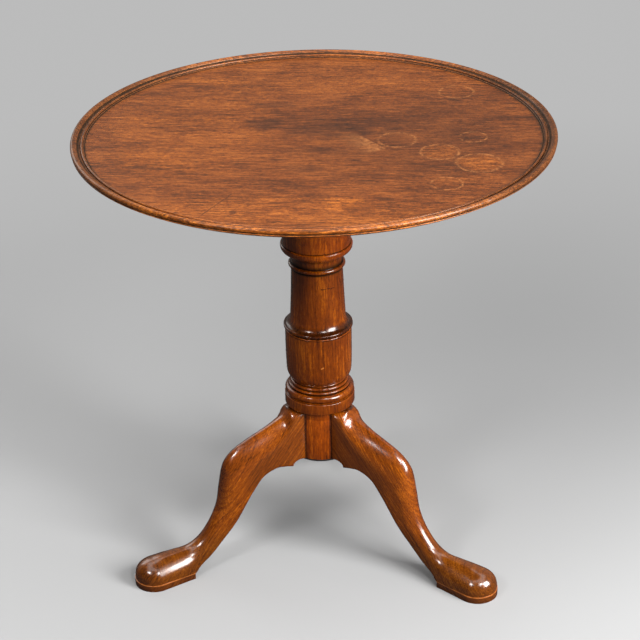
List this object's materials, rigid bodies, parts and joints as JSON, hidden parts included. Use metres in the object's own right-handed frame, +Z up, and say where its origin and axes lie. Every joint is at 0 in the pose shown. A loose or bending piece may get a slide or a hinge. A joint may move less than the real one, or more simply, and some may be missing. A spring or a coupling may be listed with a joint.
{
  "type": "supper table",
  "caption": "Round tilt-top pedestal table with a dished moulded top, a turned column and curved tripod legs with slipper feet.",
  "frame": {"origin": "on the floor, on the axis of the column under the middle of the top", "axes": "+Z up; +Y towards the rear leg; the top tips over the -Y edge of its block and faces -Y when it stands upright"},
  "size_m": [0.7199, 0.72, 0.72],
  "materials": {
    "mahogany_top": "waxed, glossy, worn",
    "mahogany_column": "waxed, glossy",
    "mahogany_leg": "waxed, glossy",
    "mahogany_under": "dry, unpolished",
    "wedge_wood": "bare",
    "brass": "aged",
    "iron": "forged, dark"
  },
  "bodies": {
    "stand": {"column": "mahogany_column", "leg_rear": "mahogany_leg", "leg_front_left": "mahogany_leg", "leg_front_right": "mahogany_leg", "brace_plate": "iron", "brace_screws": "iron", "block": "mahogany_under", "tenon_wedge": "wedge_wood", "keeper_plate": "brass", "keeper_screws": "brass"},
    "top": {"tabletop": "mahogany_top", "bearer_left": "mahogany_under", "bearer_right": "mahogany_under", "bearer_screws_left": "iron", "bearer_screws_right": "iron", "catch_plate": "brass", "catch_case": "brass", "catch_spring": "iron", "catch_screws": "brass"},
    "bolt": {"catch_bolt": "brass", "catch_knob": "brass"}
  },
  "joints": [
    {"name": "top_tilt", "type": "hinge", "parent": "stand", "child": "top", "pos_m": [0, -0.089, 0.6887], "axis": [1, 0, 0], "range_deg": [0, 90]},
    {"name": "bolt_slide", "type": "slide", "parent": "top", "child": "bolt", "axis": [0, 1, 0], "range_m": [-0.009, 0]}
  ]
}
